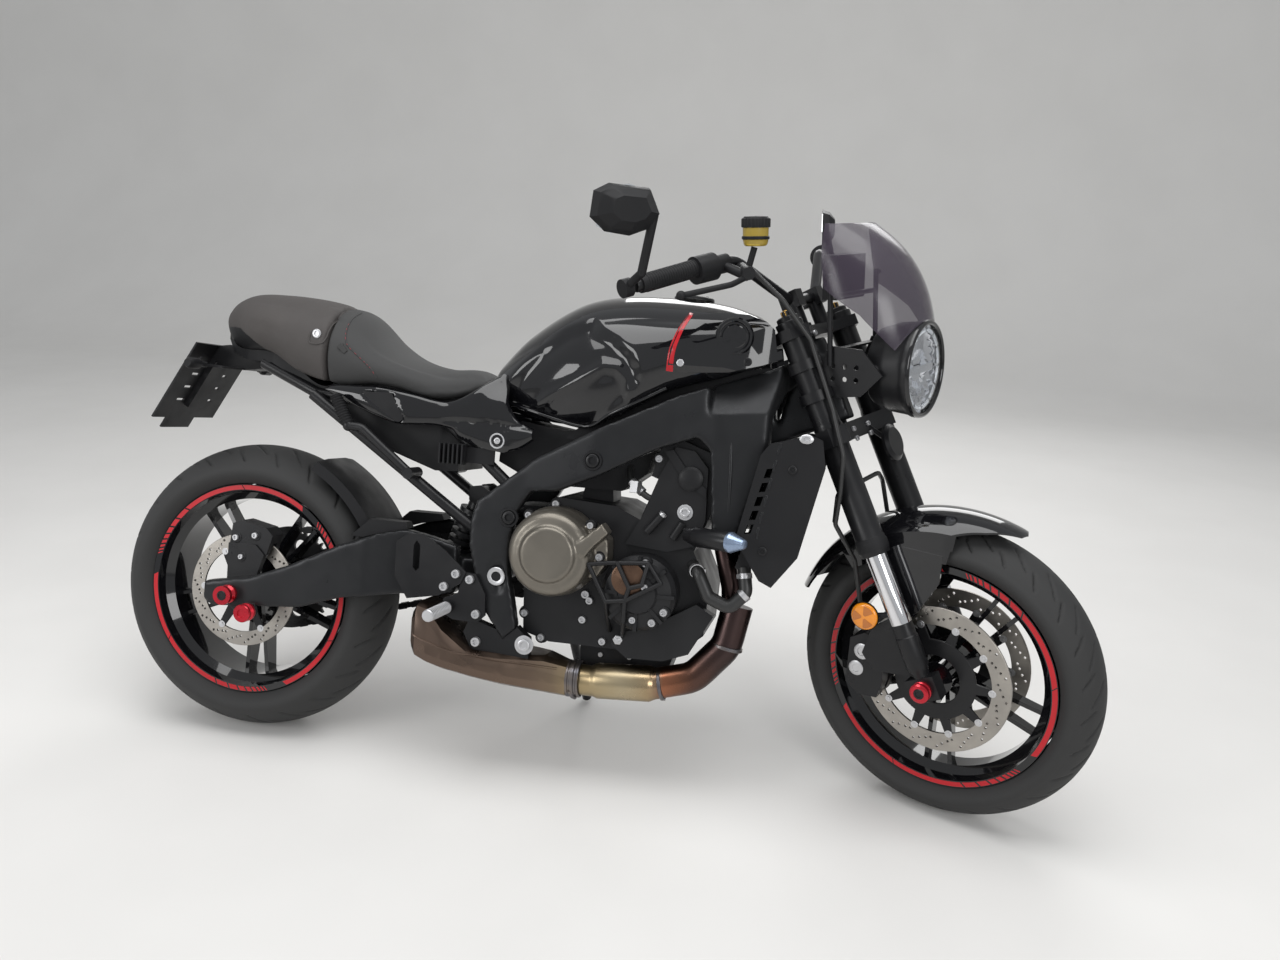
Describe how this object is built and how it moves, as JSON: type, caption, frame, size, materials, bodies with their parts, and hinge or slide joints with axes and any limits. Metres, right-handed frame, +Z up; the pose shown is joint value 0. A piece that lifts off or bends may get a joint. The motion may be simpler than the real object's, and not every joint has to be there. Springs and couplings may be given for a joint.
{
  "type": "retro roadster motorcycle",
  "caption": "Naked roadster motorcycle with round headlight, fly screen, twin-spar frame and humped seat cowl, leaning on its side stand with the steering turned right.",
  "frame": {"origin": "on the floor under the middle of the parked motorcycle's bounding box", "axes": "+X along the bike towards its front, +Y to the rider's left, +Z up"},
  "size_m": [2.0845, 0.9872, 1.2087],
  "materials": {
    "satin_black_alloy": "satin",
    "black_steel": "satin",
    "bare_steel": "satin",
    "red_anodised": "satin",
    "engine_black": "satin",
    "engine_bronze": "satin",
    "heat_steel": "satin",
    "gloss_black": "gloss",
    "matte_plastic": "matte",
    "seat_vinyl": "matte",
    "cowl_cloth": "matte",
    "tyre_rubber": "matte",
    "rim_black": "gloss",
    "fork_metal": "satin",
    "hose_rubber": "satin",
    "clear_lens": "gloss",
    "smoked_screen": "gloss",
    "amber_cup": "gloss"
  },
  "bodies": {
    "chassis": {"main_frame": "satin_black_alloy", "frame_brackets": "black_steel", "subframe": "black_steel", "swingarm": "satin_black_alloy", "pivot_bolt": "bare_steel", "rear_axle": "red_anodised", "rear_caliper": "black_steel", "shock": "black_steel", "hugger": "matte_plastic", "engine_block": "engine_black", "clutch_cover": "engine_bronze", "engine_covers": "engine_black", "exhaust_headers": "heat_steel", "muffler": "heat_steel", "radiator": "engine_black", "radiator_cowls": "matte_plastic", "coolant_hose": "hose_rubber", "airbox": "matte_plastic", "electrics": "matte_plastic", "fuel_tank": "gloss_black", "tank_cowls": "gloss_black", "seat": "seat_vinyl", "seat_cowl": "cowl_cloth", "seat_base": "matte_plastic", "side_covers": "gloss_black", "plate_holder": "black_steel", "foot_rests": "bare_steel", "crash_sliders": "black_steel", "chain": "bare_steel", "front_sprocket": "black_steel"},
    "steering": {"fork_legs": "fork_metal", "lower_yoke": "black_steel", "upper_yoke": "black_steel", "handlebar": "black_steel", "grips": "tyre_rubber", "controls": "matte_plastic", "fluid_reservoir": "amber_cup", "mirrors": "matte_plastic", "headlight_shell": "matte_plastic", "headlight_lens": "clear_lens", "lamp_bracket": "black_steel", "fly_screen": "smoked_screen", "horn": "matte_plastic", "instrument": "matte_plastic", "front_mudguard": "gloss_black", "front_calipers": "black_steel", "brake_hoses": "hose_rubber", "front_axle": "red_anodised"},
    "front_wheel": {"front_rim": "rim_black", "front_tyre": "tyre_rubber", "front_discs": "bare_steel"},
    "rear_wheel": {"rear_rim": "rim_black", "rear_tyre": "tyre_rubber", "rear_disc": "bare_steel", "rear_sprocket": "bare_steel"},
    "side_stand": {"side_stand": "black_steel"}
  },
  "joints": [
    {"name": "steering_turn", "type": "hinge", "parent": "chassis", "child": "steering", "pos_m": [0.74148, -0.21227, 0.28649], "axis": [-0.4244, 0.1962, 0.884], "range_deg": [0, 56]},
    {"name": "front_wheel_spin", "type": "hinge", "parent": "steering", "child": "front_wheel", "pos_m": [0.76458, -0.22318, 0.3], "axis": [0.4255, 0.905, 0.0035], "continuous": true},
    {"name": "rear_wheel_spin", "type": "hinge", "parent": "chassis", "child": "rear_wheel", "pos_m": [-0.72738, -0.20638, 0.31005], "axis": [0.0004, 0.9763, -0.2164], "continuous": true},
    {"name": "side_stand_swing", "type": "hinge", "parent": "chassis", "child": "side_stand", "pos_m": [-0.04321, -0.08263, 0.22973], "axis": [0.0004, 0.9763, -0.2164], "range_deg": [0, 100]}
  ]
}
